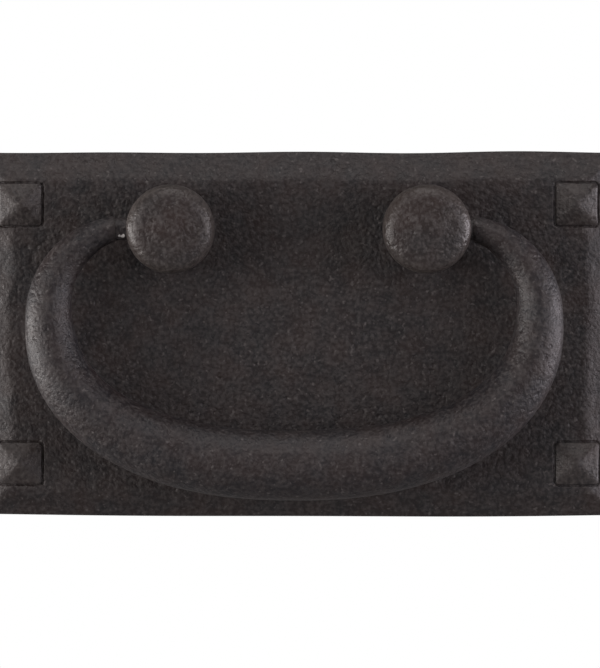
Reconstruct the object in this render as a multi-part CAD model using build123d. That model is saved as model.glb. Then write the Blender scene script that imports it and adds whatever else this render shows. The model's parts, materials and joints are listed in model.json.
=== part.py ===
from build123d import *
import os
from math import acos, cos, pi, sin

# Plate handle: a cast backplate with two posts and a drop bail that swings between them.
# Millimetres. +X runs along the pull, +Z is up, and the front faces -Y.
# The origin is midway between the two posts' axes, on the plate's back face.

# Backplate outline and section
plate_width = 95.25
plate_height = 54.0
plate_thickness = 3.0
plate_edge_height = 1.7
plate_top_above_posts = 11.4
side_bevel_width = 4.6
top_bevel_width = 4.15
bottom_bevel_width = 3.65

# Hammered edges: how many half waves each side has, how far they stand out or in,
# and how much further the foot of the bevel wanders
top_wave_count = 7
top_wave_height = -0.11
right_wave_count = 4
right_wave_height = 0.12
bottom_wave_count = 1
bottom_wave_height = 0.16
left_wave_count = 5
left_wave_height = 0.12
bevel_foot_wander = 1.4
points_per_wave = 3
shortest_side_points = 6

# Shallow hollow in the back, with a rim all round and a boss behind each post
back_rim_width = 4.0
back_hollow_depth = 1.0
boss_diameter = 15.0

# Square studs cast in the four corners
stud_size = 6.25
stud_spacing_x = 82.9
stud_spacing_z = 38.6
stud_wall_rise = 0.15
stud_point_rise = 1.05
stud_tip_size = 0.5
stud_corner_radius = 0.35
groove_width = 0.35
groove_depth = 0.7

# Posts
post_spacing = 38.1
post_height = 15.0
post_head_diameter = 13.2
post_head_edge_width = 1.3
post_head_crown = 0.3
post_foot_diameter = 11.6
post_waist_diameter = 9.6
post_waist_height = 2.4
post_head_underside = 5.2
post_tail_diameter = 6.4
post_flare_diameter = 8.4
post_flare_depth = 1.1
tail_clearance = 0.05

# Tapped hole for a drawer screw: the drill size under a number 8 machine thread
screw_hole_diameter = 3.46
screw_hole_depth = 9.2

# Pivots: the height of their line above the plate's face, and the blind bores
pivot_height = 9.15
spigot_diameter = 3.4
spigot_length = 4.6
pivot_clearance = 0.08
pivot_end_clearance = 0.4
end_gap = 0.95

# Bail: its line, its thickness, and how gently that starts to swell at the ends
# and how soon the swelling levels off
bail_drop = 35.15
bail_overhang = 9.9
bail_shoulder_radius = 12.6
bail_squareness_exponent = 2.3
bail_end_diameter = 3.9
bail_middle_diameter = 10.4
bail_swell_start_exponent = 1.15
bail_swell_levelling_exponent = 2.6
bail_end_chamfer = 0.15
spigot_tip_chamfer = 0.4
bail_sideways_shift = -0.65
bail_corner_point_count = 7
bail_shoulder_point_count = 4
bail_half_section_count = 9

# Places worked out from the sizes above
plate_centre_z = plate_top_above_posts - plate_height / 2
post_x = post_spacing / 2
head_radius = post_head_diameter / 2
pivot_y = -(plate_thickness + pivot_height)
bail_end_x = post_x + head_radius + end_gap
bail_half_width = bail_end_x + bail_overhang
bore_depth = spigot_length + end_gap + pivot_end_clearance


def front_plane(height):
    """Return the plane that faces the front, at a height above the back face."""
    return Plane.XZ.offset(height)


def wavy_side(start, end, count, height):
    """Return the points of one hammered side, from one corner to the next."""
    side = end - start
    across = Vector(side.Y, -side.X).normalized()
    steps = max(count * points_per_wave, shortest_side_points)
    shares = [step / steps for step in range(steps + 1)]
    return [start + side * share + across * (height * sin(count * pi * share)) for share in shares]


def wavy_outline(side_margin, top_margin, bottom_margin, wander):
    """Return the face of the plate's outline, drawn in by its margins."""
    right = plate_width / 2 - side_margin
    top = plate_centre_z + plate_height / 2 - top_margin
    bottom = plate_centre_z - plate_height / 2 + bottom_margin
    bottom_left = Vector(-right, bottom)
    bottom_right = Vector(right, bottom)
    top_right = Vector(right, top)
    top_left = Vector(-right, top)
    sides = [
        (bottom_left, bottom_right, bottom_wave_count, bottom_wave_height),
        (bottom_right, top_right, right_wave_count, right_wave_height),
        (top_right, top_left, top_wave_count, top_wave_height),
        (top_left, bottom_left, left_wave_count, left_wave_height),
    ]
    edges = [
        Spline(*wavy_side(start, end, count, height * wander))
        for start, end, count, height in sides
    ]
    return make_face(Wire(edges))


def make_stud_grooves(places):
    """Return the square recesses that the four studs stand in."""
    floor = plate_thickness - groove_depth
    outer = stud_size + 2 * groove_width
    recess = RectangleRounded(outer, outer, stud_corner_radius + groove_width)
    depth = groove_depth + stud_point_rise
    return [extrude(front_plane(floor) * place * recess, depth) for place in places]


def make_stud(place):
    """Return one square stud: an upright wall under a low four-sided point."""
    floor = plate_thickness - groove_depth
    shoulder = plate_thickness + stud_wall_rise
    base = RectangleRounded(stud_size, stud_size, stud_corner_radius)
    tip_radius = stud_corner_radius * stud_tip_size / stud_size
    tip = RectangleRounded(stud_tip_size, stud_tip_size, tip_radius)
    wall = extrude(front_plane(floor) * place * base, shoulder - floor)
    lower = front_plane(shoulder) * place * base
    upper = front_plane(shoulder + stud_point_rise) * place * tip
    return wall + loft([lower.face(), upper.face()], ruled=True)


def make_backplate():
    """Return the cast plate with its bevels, studs, hollow back and post holes."""
    outline = wavy_outline(0, 0, 0, 1)
    face = wavy_outline(side_bevel_width, top_bevel_width, bottom_bevel_width, bevel_foot_wander)
    plate = extrude(front_plane(0) * outline, plate_edge_height)
    rim = (front_plane(plate_edge_height) * outline).face()
    flat = (front_plane(plate_thickness) * face).face()
    plate += loft([rim, flat], ruled=True)

    hollow_width = plate_width - 2 * back_rim_width
    hollow_height = plate_height - 2 * back_rim_width
    posts = Locations((-post_x, 0), (post_x, 0))
    hollow = Pos(0, plate_centre_z) * RectangleRounded(hollow_width, hollow_height, back_rim_width / 2)
    hollow -= [place * Circle(boss_diameter / 2) for place in posts]
    plate -= extrude(front_plane(0) * hollow, back_hollow_depth)

    studs = [
        Pos(side * stud_spacing_x / 2, plate_centre_z + row * stud_spacing_z / 2)
        for side in (-1, 1)
        for row in (-1, 1)
    ]
    plate -= make_stud_grooves(studs)
    plate += [make_stud(place) for place in studs]

    for place in posts:
        hole = Circle(post_tail_diameter / 2 + tail_clearance)
        mouth = Circle(post_flare_diameter / 2 + tail_clearance)
        plate -= extrude(front_plane(0) * place * hole, plate_thickness)
        lower = (front_plane(0) * place * mouth).face()
        upper = (front_plane(post_flare_depth) * place * hole).face()
        plate -= loft([lower, upper], ruled=True)
    return plate


def make_post(side):
    """Return one turned post, riveted through the plate and bored for its spigot."""
    top = plate_thickness + post_height
    tail_radius = post_tail_diameter / 2
    foot_radius = post_foot_diameter / 2
    waist_radius = post_waist_diameter / 2
    edge = post_head_edge_width
    tail = Polyline(
        (0, 0),
        (post_flare_diameter / 2, 0),
        (tail_radius, -post_flare_depth),
        (tail_radius, -plate_thickness),
        (foot_radius, -plate_thickness),
    )
    waist = Bezier(
        (foot_radius, -plate_thickness),
        (waist_radius, -plate_thickness - post_waist_height),
        (head_radius, -plate_thickness - post_head_underside),
    )
    wall = Line((head_radius, -plate_thickness - post_head_underside), (head_radius, edge - top))
    rim = Bezier((head_radius, edge - top), (head_radius, -top), (head_radius - edge, -top))
    crown = TangentArc((0, -top - post_head_crown), (head_radius - edge, -top), tangent=(1, 0))
    axis = Line((0, -top - post_head_crown), (0, 0))
    profile = make_face(Wire([*tail.edges(), waist, wall, rim, crown, axis]))
    post = revolve(profile, Axis.Y)
    screw_hole = Circle(screw_hole_diameter / 2)
    post -= extrude(front_plane(0) * screw_hole, screw_hole_depth)
    post = Pos(side * post_x, 0, 0) * post

    bore_mouth = side * (post_x + head_radius + end_gap)
    bore_plane = Plane(origin=(bore_mouth, pivot_y, 0), x_dir=(0, 1, 0), z_dir=(-side, 0, 0))
    bore = bore_plane * Circle(spigot_diameter / 2 + pivot_clearance)
    post -= extrude(bore, bore_depth)
    return post


def bail_half_points():
    """Return points of the bail's centreline, from its middle to its right end."""
    shoulder_x = bail_half_width - bail_shoulder_radius
    shoulder_turn = acos((bail_end_x - shoulder_x) / bail_shoulder_radius)
    side_z = -bail_shoulder_radius * sin(shoulder_turn)
    power = 2 / bail_squareness_exponent
    points = []
    for step in range(bail_corner_point_count):
        angle = pi / 2 * step / bail_corner_point_count
        x = bail_half_width * sin(angle) ** power
        z = side_z - (bail_drop + side_z) * cos(angle) ** power
        points.append((x, z))
    for step in range(bail_shoulder_point_count + 1):
        angle = shoulder_turn * step / bail_shoulder_point_count
        x = shoulder_x + bail_shoulder_radius * cos(angle)
        z = side_z + bail_shoulder_radius * sin(angle)
        points.append((x, z))
    return points


def bail_diameter(from_end, half_length):
    """Return the bail's thickness at a distance from its end, along its centreline."""
    share = from_end / half_length
    growth = 1 - (1 - share**bail_swell_start_exponent) ** bail_swell_levelling_exponent
    return bail_end_diameter + (bail_middle_diameter - bail_end_diameter) * growth


def make_bail():
    """Return the one-piece bail: a swelling round bar with a spigot at each end."""
    line = Spline(*[(x, pivot_y, z) for x, z in bail_half_points()])
    sections = []
    for step in range(bail_half_section_count + 1):
        share = step / bail_half_section_count
        heading = line % share
        if step == 0:
            heading = Vector(1, 0, 0)
        if step == bail_half_section_count:
            heading = Vector(-1, 0, 0)
        radius = bail_diameter((1 - share) * line.length, line.length) / 2
        place = Plane(origin=line @ share, x_dir=(0, -1, 0), z_dir=heading)
        sections.append((place * Circle(radius)).face())
    half = loft(sections)
    end = half.faces().filter_by(GeomType.PLANE).sort_by(Axis.Z)[-1]
    half = chamfer(end.edges(), bail_end_chamfer)

    embedded = spigot_diameter / 2
    root_x = bail_end_x + embedded
    root = Plane(origin=(root_x, pivot_y, 0), x_dir=(0, 1, 0), z_dir=(-1, 0, 0))
    spigot = extrude(root * Circle(spigot_diameter / 2), spigot_length + embedded)
    tip = spigot.faces().sort_by(Axis.X)[0]
    half += chamfer(tip.edges(), spigot_tip_chamfer)
    return Pos(bail_sideways_shift, 0, 0) * (half + mirror(half, Plane.YZ))


os.makedirs("parts", exist_ok=True)
export_step(make_backplate(), "parts/backplate.step")
export_step(make_post(-1), "parts/left_post.step")
export_step(make_post(1), "parts/right_post.step")
export_step(make_bail(), "parts/bail.step")
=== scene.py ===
import json
import logging
import math
from collections.abc import Iterable, Sequence
from dataclasses import dataclass
from enum import Enum
from itertools import accumulate, pairwise
from typing import Any

import bmesh
import bpy
from bmesh.types import BMEdge, BMesh, BMFace, BMVert
from mathutils import Matrix, Vector, noise


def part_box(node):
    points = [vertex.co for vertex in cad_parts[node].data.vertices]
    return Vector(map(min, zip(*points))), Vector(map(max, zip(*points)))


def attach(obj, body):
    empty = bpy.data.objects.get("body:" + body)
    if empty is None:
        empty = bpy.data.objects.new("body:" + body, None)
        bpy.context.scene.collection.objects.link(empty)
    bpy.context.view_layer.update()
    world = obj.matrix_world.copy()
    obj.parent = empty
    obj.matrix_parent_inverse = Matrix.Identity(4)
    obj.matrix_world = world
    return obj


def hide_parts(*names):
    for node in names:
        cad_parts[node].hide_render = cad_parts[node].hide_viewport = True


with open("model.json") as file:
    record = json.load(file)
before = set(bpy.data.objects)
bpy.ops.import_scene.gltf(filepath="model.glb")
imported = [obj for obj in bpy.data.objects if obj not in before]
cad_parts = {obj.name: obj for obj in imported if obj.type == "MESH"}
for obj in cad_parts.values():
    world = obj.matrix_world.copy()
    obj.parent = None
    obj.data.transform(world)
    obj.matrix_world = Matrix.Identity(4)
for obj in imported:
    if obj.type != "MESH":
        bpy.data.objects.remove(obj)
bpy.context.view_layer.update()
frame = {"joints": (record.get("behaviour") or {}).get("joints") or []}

# Drawer pull: a cast backplate with four corner studs, two turned posts and a drop bail.
# Metres. +X runs along the pull, +Z is up, the front faces -Y and the back face lies at Y = 0.

MM = 0.001
# Points closer than this become one
MERGED = 0.002 * MM
# Surfaces closer than this touch
TOUCHING = 0.01 * MM
# Edges that bend by more than this stay sharp
SHARP_ANGLE = math.radians(38.0)
# The name of the attribute that holds how worn each place is, and on the posts' rims also a painted highlight
WEAR_AND_SHEEN = "wear"
log = logging.getLogger("plate_handle")

Colour = tuple[float, float, float, float]
Place = tuple[float, float, float]
Stops = tuple[tuple[float, float], ...]


class Body(Enum):
    """The moving bodies of the pull."""

    PLATE = "plate"
    BAIL = "bail"


class Slot(Enum):
    """The record's material slots."""

    CAST_PLATE = "cast_plate"
    TURNED_POST = "turned_post"
    CAST_BAIL = "cast_bail"


class Hand(Enum):
    """The two ends of the pull, each with its direction along X."""

    LEFT = -1
    RIGHT = 1


# Small helpers for numbers


def smooth_step(share: float) -> float:
    """Return an eased share that runs from 0 to 1 with level ends."""
    share = min(max(share, 0.0), 1.0)
    return share * share * (3.0 - 2.0 * share)


def soft_min(first: float, second: float, width: float) -> float:
    """Return the lesser of two numbers, blended where they are within a width of each other."""
    near = max(width - abs(first - second), 0.0) / width
    return min(first, second) - near * near * width / 4.0


def soft_max(first: float, second: float, width: float) -> float:
    """Return the greater of two numbers, blended where they are within a width of each other."""
    return -soft_min(-first, -second, width)


def round_over(depth_in: float, radius: float) -> float:
    """Return how far a rounded edge falls at a distance in from the edge.

    Args:
        depth_in: The distance in.
        radius: The edge's radius.

    Returns:
        The fall, 0 past the radius.
    """
    if depth_in >= radius:
        return 0.0
    reach = radius - max(depth_in, 0.0)
    return radius - math.sqrt(max(radius * radius - reach * reach, 0.0))


def rounded_box_distance(across: float, along: float, half_x: float, half_z: float, radius: float) -> float:
    """Return the distance outside a rounded rectangle, negative inside it.

    Args:
        across: Distance from its centre along X.
        along: Distance from its centre along Z.
        half_x: Half of its width.
        half_z: Half of its height.
        radius: The radius of its corners.

    Returns:
        The signed distance to its outline.
    """
    reach_x = abs(across) - half_x + radius
    reach_z = abs(along) - half_z + radius
    outside = math.hypot(max(reach_x, 0.0), max(reach_z, 0.0))
    return outside + min(max(reach_x, reach_z), 0.0) - radius


@dataclass(frozen=True)
class Spacing:
    """How far apart the lines of a grid are.

    Attributes:
        closest: The spacing right beside a mark.
        growth: How much each spacing grows over the one before it.
        widest: The largest spacing.
    """

    closest: float
    growth: float
    widest: float

    def lines(self, marks: Sequence[float]) -> list[float]:
        """Return grid lines that pass through each mark and crowd together beside it.

        Args:
            marks: The places that need a line, in order.

        Returns:
            The places of all lines, in order.
        """
        lines = [marks[0]]
        for start, end in pairwise(marks):
            half = (end - start) / 2.0
            offsets: list[float] = []
            reach, step = 0.0, self.closest
            while reach + step < half - self.closest / 2.0:
                reach += step
                offsets.append(reach)
                step = min(step * self.growth, self.widest)
            lines += [start + offset for offset in offsets]
            if half - reach > self.closest:
                lines.append(start + half)
            lines += [end - offset for offset in reversed(offsets)]
            lines.append(end)
        return lines


@dataclass(frozen=True)
class Wave:
    """One long wave of a hammered edge.

    Attributes:
        height: How far it stands out.
        length: From crest to crest.
        phase: Where along it the count starts, in radians.
    """

    height: float
    length: float
    phase: float = 0.0

    def at(self, place: float) -> float:
        """Return how far the edge stands out at a place along it."""
        return self.height * math.sin(2.0 * math.pi * place / self.length + self.phase)


def waves_at(waves: Iterable[Wave], place: float) -> float:
    """Return how far an edge with several waves stands out at a place along it."""
    return sum(wave.at(place) for wave in waves)


@dataclass(frozen=True)
class Skin:
    """The soft lumps that casting or hammering leaves in a surface.

    Attributes:
        size: The usual distance between lumps.
        height: How far they stand out or in.
        shift: Moves the pattern, so that no two pieces share one.
    """

    size: float
    height: float
    shift: float = 0.0

    def at(self, place: Vector) -> float:
        """Return how far the surface stands out at a place."""
        offset = Vector((self.shift, 2.0 * self.shift, 3.0 * self.shift))
        return self.height * noise.noise(place / self.size + offset)


# Shader nodes written as Python


class Signal:
    """A shader socket that takes part in Python arithmetic."""

    def __init__(self, bench: "NodeBench", socket: bpy.types.NodeSocket) -> None:
        """Keep an output socket and the bench whose node tree holds it."""
        self.bench = bench
        self.socket = socket

    def maths(self, operation: str, *values: "Signal | float") -> "Signal":
        """Return the result of one Math node on some values."""
        return self.bench.node("ShaderNodeMath", {"operation": operation}, dict(enumerate(values)))

    def __add__(self, other: "Signal | float") -> "Signal":
        """Add a signal or a number."""
        return self.maths("ADD", self, other)

    __radd__ = __add__

    def __sub__(self, other: "Signal | float") -> "Signal":
        """Take a signal or a number away."""
        return self.maths("SUBTRACT", self, other)

    def __rsub__(self, other: "Signal | float") -> "Signal":
        """Take this signal away from a number."""
        return self.maths("SUBTRACT", other, self)

    def __mul__(self, other: "Signal | float") -> "Signal":
        """Multiply by a signal or a number."""
        return self.maths("MULTIPLY", self, other)

    __rmul__ = __mul__

    def clamped(self) -> "Signal":
        """Return the signal held between 0 and 1."""
        return self.maths("MINIMUM", self.maths("MAXIMUM", self, 0.0), 1.0)


class NodeBench:
    """Adds nodes to one node tree."""

    def __init__(self, tree: bpy.types.NodeTree) -> None:
        """Take a node tree and empty it."""
        self.tree = tree
        tree.nodes.clear()

    def node(
        self,
        kind: str,
        settings: dict[str, Any] | None = None,
        inputs: dict[str | int, Any] | None = None,
        output: str | int = 0,
    ) -> Signal:
        """Add a node, set it up and connect it.

        Args:
            kind: The node's type.
            settings: Its own settings, with a ramp's stops under "stops".
            inputs: A value or a signal for each socket that is not left as it is.
            output: The socket to return.

        Returns:
            The node's output as a signal.
        """
        made = self.tree.nodes.new(kind)
        for name, value in (settings or {}).items():
            if name == "stops":
                self._set_stops(made.color_ramp, value)
            else:
                setattr(made, name, value)
        for name, value in (inputs or {}).items():
            if isinstance(value, Signal):
                self.tree.links.new(value.socket, made.inputs[name])
            else:
                made.inputs[name].default_value = value
        found = made.outputs[output] if len(made.outputs) else None
        return Signal(self, found)

    def _set_stops(self, ramp: bpy.types.ColorRamp, stops: Stops) -> None:
        """Give a ramp its stops.

        Args:
            ramp: The ramp.
            stops: Its stops, each a place and a grey level.
        """
        while len(ramp.elements) < len(stops):
            ramp.elements.new(1.0)
        for element, (place, level) in zip(ramp.elements, stops):
            element.position = place
            element.color = (level, level, level, 1.0)

    def mixed(self, factor: Signal | float, first: Any, second: Any) -> Signal:
        """Return two colours mixed by a factor.

        Args:
            factor: 0 gives the first colour and 1 the second.
            first: A colour or a signal.
            second: A colour or a signal.

        Returns:
            The mixed colour.
        """
        # The numbers of the node's sockets for colours
        first_colour, second_colour, mixed_colour = 6, 7, 2
        inputs = {"Factor": factor, first_colour: first, second_colour: second}
        return self.node("ShaderNodeMix", {"data_type": "RGBA"}, inputs, mixed_colour)

    def ramped(self, factor: Signal, *stops: tuple[float, float]) -> Signal:
        """Return a signal read through a ramp of grey levels."""
        return self.node("ShaderNodeValToRGB", {"stops": stops}, {"Fac": factor})

    def noise(self, place: Signal, size: float, detail: float = 2.0, roughness: float = 0.5) -> Signal:
        """Return cloudy noise whose lumps are about a size apart."""
        inputs = {"Vector": place, "Scale": 1.0 / size, "Detail": detail, "Roughness": roughness}
        return self.node("ShaderNodeTexNoise", {"noise_dimensions": "3D"}, inputs)

    def cells(self, place: Signal, size: float) -> Signal:
        """Return the distance to the nearest of many scattered points."""
        return self.node("ShaderNodeTexVoronoi", None, {"Vector": place, "Scale": 1.0 / size}, "Distance")

    def show(self, look: dict[str | int, Any]) -> None:
        """End a material's tree with a Principled shader that has some inputs."""
        shader = self.node("ShaderNodeBsdfPrincipled", None, look)
        self.node("ShaderNodeOutputMaterial", None, {"Surface": shader})


def new_material(name: str) -> tuple[bpy.types.Material, NodeBench]:
    """Return a new material and the bench for its nodes.

    Args:
        name: The material's name.

    Returns:
        The material and its bench.
    """
    made = bpy.data.materials.new(name)
    made.use_nodes = True
    return made, NodeBench(made.node_tree)


@dataclass(frozen=True)
class RubbedSpot:
    """A place where the coating is rubbed through to bare metal.

    Attributes:
        centre: Its centre.
        radius: Its rough radius.
        raggedness: How far its edge wanders, as a share of its radius.
        nick_size: The size of the nicks in its edge, as a share of its radius.
        sharpness: How sharp its edge is.
    """

    centre: Place
    radius: float
    raggedness: float = 0.9
    nick_size: float = 0.7
    sharpness: float = 5.0

    def mask(self, bench: NodeBench, where: Signal) -> Signal:
        """Return a mask that is 1 on the spot and 0 away from it.

        Args:
            bench: The bench that the material is made on.
            where: Object coordinates.

        Returns:
            The mask.
        """
        ends = {0: where, 1: self.centre}
        away = bench.node("ShaderNodeVectorMath", {"operation": "DISTANCE"}, ends, "Value")
        nicks = bench.noise(where, self.nick_size * self.radius, 2.0)
        edge = away + (nicks - 0.5) * (self.raggedness * self.radius)
        return ((self.radius - edge) * (self.sharpness / self.radius)).clamped()


@dataclass(frozen=True)
class CastFinish:
    """A dark, slightly grainy coating over cast iron, a little lighter where it is worn and where a painted
    highlight lies on the posts' rims, with painted sparkle on its grain and painted shade in the grain's
    hollows.

    Attributes:
        name: The material's name.
        brown: The warm part of its colour.
        slate: The cool part of its colour.
        worn_and_sheen: Its colour along rubbed edges, also laid on the posts' rims as a painted highlight.
        sheen_speck: The colour of the painted sparkle on its grain, which also lightens the grain's tops as
            painted highlight.
        bare: The colour of the bare metal under it.
        shift: Moves the patterns, so that no two pieces share them.
        roughness: Its mean roughness.
        bare_roughness: The roughness of the bare metal.
        mottle_size: The size of its patches of colour.
        mottle_stops: Where those patches are brown and where they are slate.
        grain_size: The size of the cast grain.
        coarse_scale: How much larger its coarse grain is.
        grain_height: How far the grain stands out.
        fine_height: The fine grain's share of that.
        coarse_height: The coarse grain's share of it.
        grain_shade_contrast: How much lighter the grain's tops are painted than its hollows, as painted
            highlight on the tops and painted shade in the hollows.
        sheen_base: The share of the painted sparkle's colour that lies everywhere.
        speck_scale: How much larger than the grain its painted sparkle specks are.
        speck_share: How strongly its painted sparkle specks show.
        speck_stops: The levels of scattered noise that give no speck and a full one.
        worn_share: How strongly its wear and the posts' painted rim highlight show.
        worn_contrast: How much more the grain's tops are worn than its hollows.
        worn_least: How high the grain must be to be worn at all.
        worn_gloss: How much smoother it is where it is worn.
        pit_scale: How much further apart than the grain its pits are.
        pit_depth: How deep its scattered pits are.
        pit_stops: The distances from a pit's middle at which it is full and at which it ends.
        rubbed: The places that are rubbed through to the metal.
    """

    name: str
    brown: Colour = (0.0217, 0.0144, 0.0135, 1.0)
    slate: Colour = (0.0115, 0.0105, 0.0120, 1.0)
    # Worn colour, also used as a painted highlight on the posts' rims
    worn_and_sheen: Colour = (0.078, 0.068, 0.063, 1.0)
    # Colour of the painted sparkle and of the painted highlight on the grain's tops
    sheen_speck: Colour = (0.115, 0.105, 0.103, 1.0)
    bare: Colour = (0.97, 0.96, 0.94, 1.0)
    shift: float = 0.0
    roughness: float = 0.5
    bare_roughness: float = 0.5
    mottle_size: float = 4.5 * MM
    mottle_stops: Stops = ((0.36, 0.0), (0.64, 1.0))
    grain_size: float = 0.58 * MM
    coarse_scale: float = 3.4
    grain_height: float = 0.21 * MM
    fine_height: float = 0.7
    coarse_height: float = 0.9
    # Painted highlight on the grain's tops and painted shade in its hollows, with a share of the painted
    # sparkle colour everywhere
    grain_shade_contrast: float = 1.35
    sheen_base: float = 0.1
    speck_scale: float = 1.1
    speck_share: float = 0.6
    speck_stops: Stops = ((0.66, 0.0), (0.76, 1.0))
    worn_share: float = 0.85
    worn_contrast: float = 2.2
    worn_least: float = 0.3
    worn_gloss: float = 0.1
    pit_scale: float = 3.8
    pit_depth: float = 0.08 * MM
    pit_stops: Stops = ((0.05, 1.0), (0.2, 0.0))
    rubbed: tuple[RubbedSpot, ...] = ()

    def material(self) -> bpy.types.Material:
        """Return the finish as a Blender material.

        Returns:
            The material.
        """
        made, bench = new_material(self.name)
        where = bench.node("ShaderNodeTexCoord", output="Object")
        moved = {"Vector": where, "Location": (self.shift, 0.6 * self.shift, -0.4 * self.shift)}
        place = bench.node("ShaderNodeMapping", {"vector_type": "POINT"}, moved)
        grain = bench.noise(place, self.grain_size, 1.5, 0.5)
        coarse = bench.noise(place, self.coarse_scale * self.grain_size, 3.0, 0.6)
        pits = bench.ramped(bench.cells(place, self.pit_scale * self.grain_size), *self.pit_stops)
        wear = bench.node("ShaderNodeAttribute", {"attribute_name": WEAR_AND_SHEEN}, output="Fac")
        # The lighter worn colour also carries the painted highlight laid on the posts' rims
        worn_and_sheen = (wear * (self.worn_contrast * grain - self.worn_least)).clamped()

        colour = self._coating(bench, place, grain, coarse)
        colour = bench.mixed(worn_and_sheen * self.worn_share, colour, self.worn_and_sheen)
        rough = self.roughness + 0.3 * (coarse - 0.5) + 0.2 * (grain - 0.5) - self.worn_gloss * worn_and_sheen
        metal: Signal | float = 0.0
        if self.rubbed:
            metal = sum(spot.mask(bench, where) for spot in self.rubbed).clamped()
            colour = bench.mixed(metal, colour, self.bare)
            rough = rough * (1.0 - metal) + self.bare_roughness * metal
        height = grain * self.fine_height + coarse * self.coarse_height
        height = height - pits * (self.pit_depth / self.grain_height)
        relief = {"Strength": 1.0, "Distance": self.grain_height, "Height": height}
        bump = bench.node("ShaderNodeBump", None, relief)
        bench.show({"Base Color": colour, "Roughness": rough, "Metallic": metal, "Normal": bump})
        return made

    def _coating(self, bench: NodeBench, place: Signal, grain: Signal, coarse: Signal) -> Signal:
        """Return the coating's colour, in patches of two tones, with painted sparkle on its grain and painted
        shade in the grain's hollows.

        Args:
            bench: The bench that the material is made on.
            place: The place that the patterns are read at.
            grain: The fine grain.
            coarse: The coarse grain.

        Returns:
            The colour, without wear.
        """
        mottle = bench.ramped(bench.noise(place, self.mottle_size, 3.0, 0.6), *self.mottle_stops)
        colour = bench.mixed(mottle, self.brown, self.slate)
        # Painted highlight on the grain's tops and painted shade in its hollows: the colour follows the
        # grain's height
        grain_sheen_and_shade = (self.grain_shade_contrast * (0.75 * grain + 0.25 * coarse - 0.5) + self.sheen_base).clamped()
        colour = bench.mixed(grain_sheen_and_shade, colour, self.sheen_speck)
        # Painted sparkle: scattered light specks stand in for glints on the grain
        scattered = bench.noise(place, self.speck_scale * self.grain_size, 1.0)
        sheen_specks = bench.ramped(scattered, *self.speck_stops)
        return bench.mixed(sheen_specks * self.speck_share, colour, self.sheen_speck)


# Mesh helpers


def mesh_from(bm: BMesh, name: str) -> bpy.types.Mesh:
    """Turn a bmesh into a mesh.

    Args:
        bm: The bmesh, which is freed.
        name: The mesh's name.

    Returns:
        The mesh.
    """
    mesh = bpy.data.meshes.new(name)
    bm.to_mesh(mesh)
    bm.free()
    return mesh


def linked(name: str, data: bpy.types.ID) -> bpy.types.Object:
    """Return a new object that shows some data and is linked to the scene.

    Args:
        name: The object's name.
        data: Its mesh, lamp or camera.

    Returns:
        The object.
    """
    made = bpy.data.objects.new(name, data)
    bpy.context.scene.collection.objects.link(made)
    return made


def turned(outline: Iterable[Place], axis: Place, steps: int) -> BMesh:
    """Turn an outline all the way round an axis through the origin.

    Args:
        outline: The outline's points, in order.
        axis: The way the axis points.
        steps: How many steps the turn has.

    Returns:
        The turned shape, with its seam and poles closed.
    """
    bm = bmesh.new()
    verts = [bm.verts.new(point) for point in outline]
    edges = [bm.edges.new(pair) for pair in pairwise(verts)]
    origin = (0.0, 0.0, 0.0)
    bmesh.ops.spin(
        bm,
        geom=verts + edges,
        cent=origin,
        axis=axis,
        dvec=origin,
        angle=2.0 * math.pi,
        steps=steps,
        use_merge=True,
    )
    bmesh.ops.remove_doubles(bm, verts=bm.verts, dist=MERGED)
    return bm


def new_ring(bm: BMesh, edges: Sequence[BMEdge]) -> list[BMEdge]:
    """Extrude a loop of edges and return the new loop.

    Args:
        bm: The mesh.
        edges: The loop to grow from.

    Returns:
        The new loop's edges, with their vertices still on the old loop.
    """
    grown = bmesh.ops.extrude_edge_only(bm, edges=edges)["geom"]
    fresh = {item for item in grown if isinstance(item, BMVert)}
    return [item for item in grown if isinstance(item, BMEdge) and fresh.issuperset(item.verts)]


def ring_verts(edges: Iterable[BMEdge]) -> list[BMVert]:
    """Return the vertices of a loop, each once."""
    return list(dict.fromkeys(vert for edge in edges for vert in edge.verts))


def mark_wear(bm: BMesh, least: float, most: float, passes: int) -> None:
    """Store how sharply each place stands out, which is where a coating wears first.

    Args:
        bm: The mesh, with its normals right.
        least: The bend at which wear starts.
        most: The bend at which it is full.
        passes: How many times it is spread to its neighbours.
    """
    bm.verts.ensure_lookup_table()
    layer = bm.verts.layers.float.new(WEAR_AND_SHEEN)
    levels = []
    for vert in bm.verts:
        ways = [(edge.other_vert(vert).co - vert.co).normalized() for edge in vert.link_edges]
        bend = -sum(way.dot(vert.normal) for way in ways) / max(len(ways), 1)
        levels.append(smooth_step((bend - least) / (most - least)))
    for _ in range(passes):
        spread = []
        for vert in bm.verts:
            around = [levels[edge.other_vert(vert).index] for edge in vert.link_edges]
            spread.append(0.5 * levels[vert.index] + 0.5 * sum(around) / max(len(around), 1))
        levels = spread
    for vert in bm.verts:
        vert[layer] = levels[vert.index]


def finished_piece(bm: BMesh, name: str, finish: CastFinish) -> bpy.types.Object:
    """Turn a bmesh into a smooth-shaded object with its finish.

    Args:
        bm: The mesh, which is freed.
        name: The piece's name.
        finish: Its finish.

    Returns:
        The object, linked to the scene.
    """
    mesh = mesh_from(bm, name)
    mesh.shade_smooth()
    mesh.set_sharp_from_angle(angle=SHARP_ANGLE)
    mesh.materials.append(finish.material())
    return linked(name, mesh)


def settle(piece: bpy.types.Object, node: str, body: Body) -> None:
    """Put a finished piece in the place of its CAD node.

    Args:
        piece: The piece.
        node: The node that it stands for.
        body: The body that it moves with.
    """
    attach(piece, body.value)
    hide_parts(node)
    faces = sum(len(polygon.vertices) - 2 for polygon in piece.data.polygons)
    log.info("%s stands for %s: %d triangles", piece.name, node, faces)


def post_x(hand: Hand) -> float:
    """Return where a post's axis stands along X, read from the frame."""
    low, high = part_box("right_post")
    return hand.value * (low.x + high.x) / 2.0


def pivot_place() -> Vector:
    """Return a point on the line that the bail swings about, read from the frame."""
    return Vector(frame["joints"][0]["pos_m"])


# The pieces


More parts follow.
